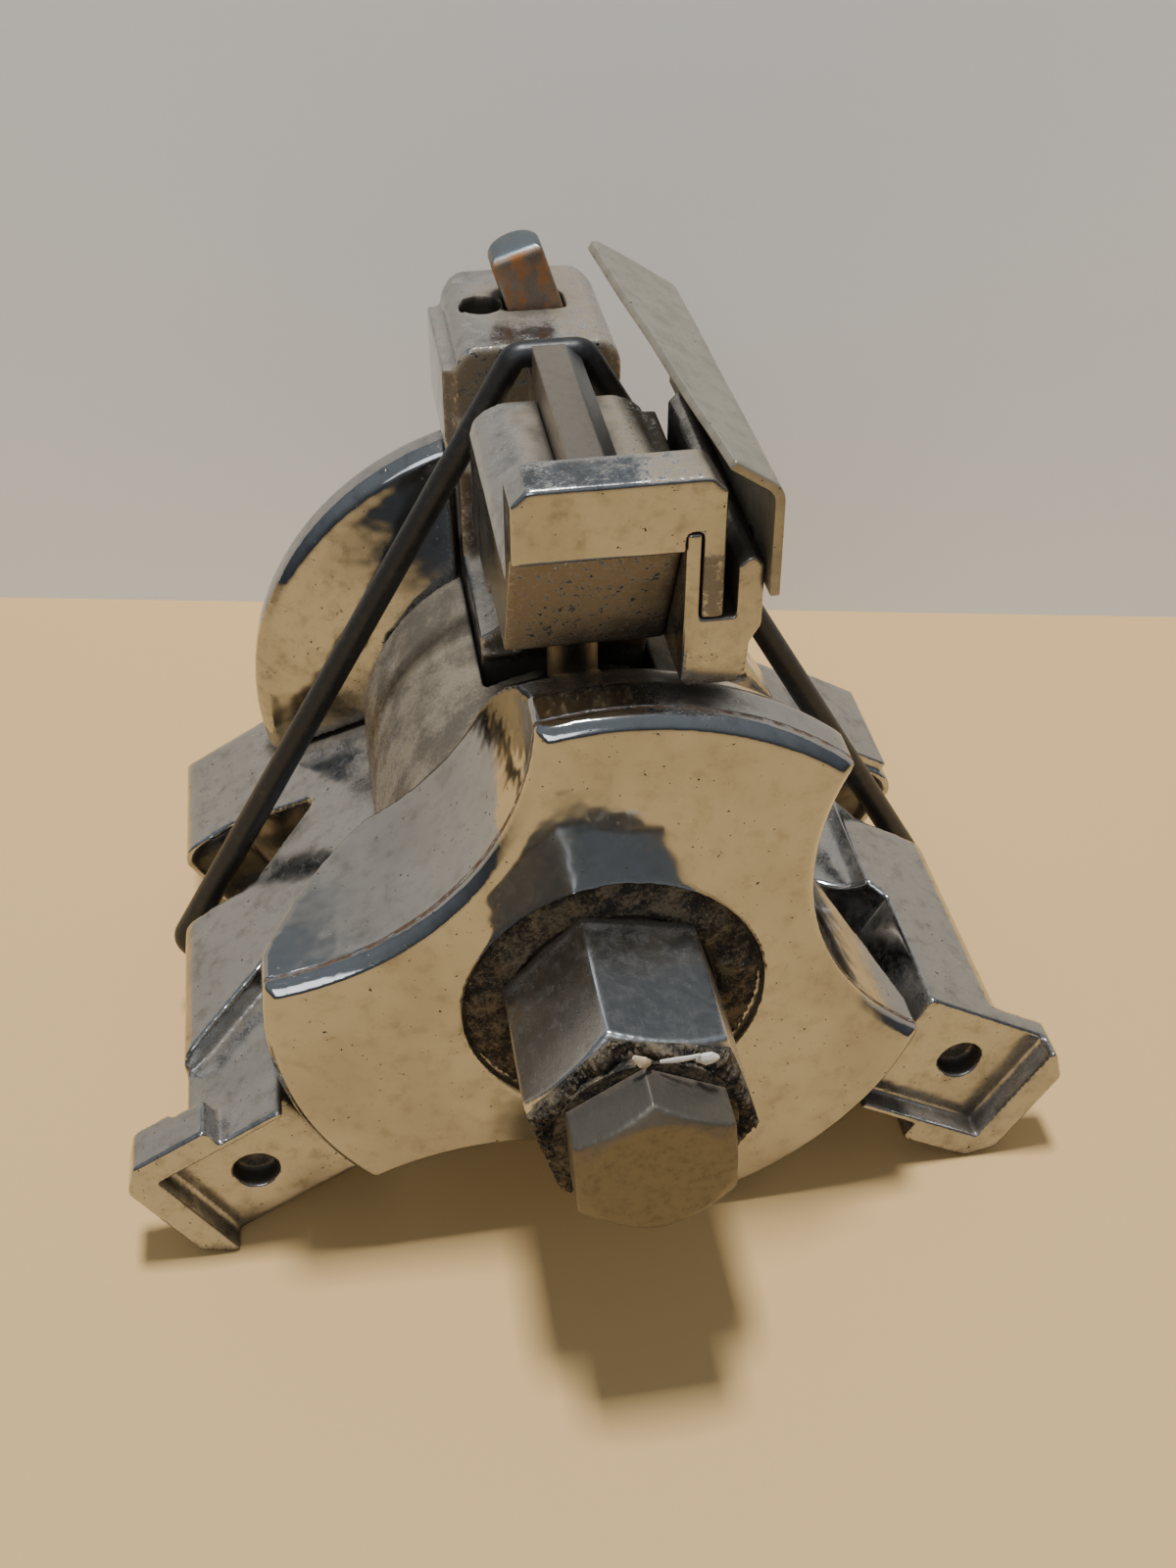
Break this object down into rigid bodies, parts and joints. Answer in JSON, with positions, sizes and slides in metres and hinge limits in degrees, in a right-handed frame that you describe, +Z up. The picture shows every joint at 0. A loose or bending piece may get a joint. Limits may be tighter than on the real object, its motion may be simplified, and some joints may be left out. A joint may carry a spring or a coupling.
{
  "type": "cylinder ridge reamer",
  "caption": "Three-legged expanding ridge reamer for engine cylinders: chromed body, hex drives, cutter blade, guide bars, rubber ring.",
  "frame": {"origin": "Centre of the object's bounding box on the surface it stands on.", "axes": "+Z is up, along the top arm's travel. -Y is the front, where the two wrench hexes point; the tool's own axis lies along Y at z = 0.0325 m. +X is to the right seen from the front, and is the widest direction."},
  "size_m": [0.0976, 0.0874, 0.09],
  "materials": {
    "chromed_casting": "worn bright chrome over steel, pitted and dusty",
    "bare_steel": "bare steel, greasy and lightly rusted",
    "tool_steel": "ground tool steel, stained brown",
    "ground_steel": "smooth ground steel",
    "black_screws": "black oxide",
    "bronze": "dull bearing bronze",
    "rusted_steel": "steel with orange rust",
    "plated_strip": "worn plated steel strip",
    "spring_sheet": "matt grey-tan spring sheet",
    "ring_rubber": "smooth black rubber"
  },
  "bodies": {
    "core": {"front_hub": "chromed_casting", "drive_hex": "bare_steel", "thrust_washer": "bare_steel", "core_body": "chromed_casting", "rear_flange": "chromed_casting", "rear_bush": "bronze", "flange_screws": "black_screws", "cone_key": "ground_steel"},
    "screw": {"expanding_screw": "bare_steel", "screw_collar": "bare_steel", "collar_pin": "ground_steel"},
    "cone": {"expander_cone": "ground_steel"},
    "arm_top": {"arm_top": "chromed_casting", "push_pin_top": "ground_steel", "guide_pin_top": "ground_steel", "cutter_blade": "tool_steel", "clamp_screw_top": "black_screws", "follower_screw": "black_screws", "plate_holder": "plated_strip", "ring_top": "ring_rubber"},
    "follower": {"depth_follower": "rusted_steel"},
    "plate": {"guide_plate": "spring_sheet", "plate_rivets": "plated_strip"},
    "arm_left": {"arm_left": "chromed_casting", "push_pin_left": "ground_steel", "guide_pin_left": "ground_steel", "guide_bar_left": "tool_steel", "clamp_screw_left": "black_screws", "ring_left": "ring_rubber"},
    "arm_right": {"arm_right": "chromed_casting", "push_pin_right": "ground_steel", "guide_pin_right": "ground_steel", "guide_bar_right": "tool_steel", "clamp_screw_right": "black_screws", "ring_right": "ring_rubber"}
  },
  "joints": [
    {"name": "screw_turn", "type": "hinge", "parent": "core", "child": "screw", "pos_m": [0, -0.02225, 0.0325], "axis": [0, 1, 0], "range_deg": [0, 1080]},
    {"name": "cone_slide", "type": "slide", "parent": "core", "child": "cone", "axis": [0, -1, 0], "range_m": [0, 0.00599]},
    {"name": "arm_top_slide", "type": "slide", "parent": "core", "child": "arm_top", "axis": [0, 0, 1], "range_m": [0, 0.006]},
    {"name": "arm_left_slide", "type": "slide", "parent": "core", "child": "arm_left", "axis": [-0.866, 0, -0.5], "range_m": [0, 0.006]},
    {"name": "arm_right_slide", "type": "slide", "parent": "core", "child": "arm_right", "axis": [0.866, 0, -0.5], "range_m": [0, 0.006]},
    {"name": "follower_slide", "type": "slide", "parent": "arm_top", "child": "follower", "axis": [-0.309, 0, 0.9511], "range_m": [-0.0015, 0]},
    {"name": "plate_flex", "type": "hinge", "parent": "arm_top", "child": "plate", "pos_m": [0.01295, -0.00025, 0.0791], "axis": [0, 1, 0], "range_deg": [-6, 0], "stiffness_Nm_per_rad": 0.02}
  ],
  "couplings": [
    {"joint": "screw_turn", "follows": "cone_slide", "rad_per_m": 3144.7},
    {"joint": "arm_top_slide", "follows": "cone_slide", "ratio": 1},
    {"joint": "arm_left_slide", "follows": "cone_slide", "ratio": 1},
    {"joint": "arm_right_slide", "follows": "cone_slide", "ratio": 1}
  ]
}
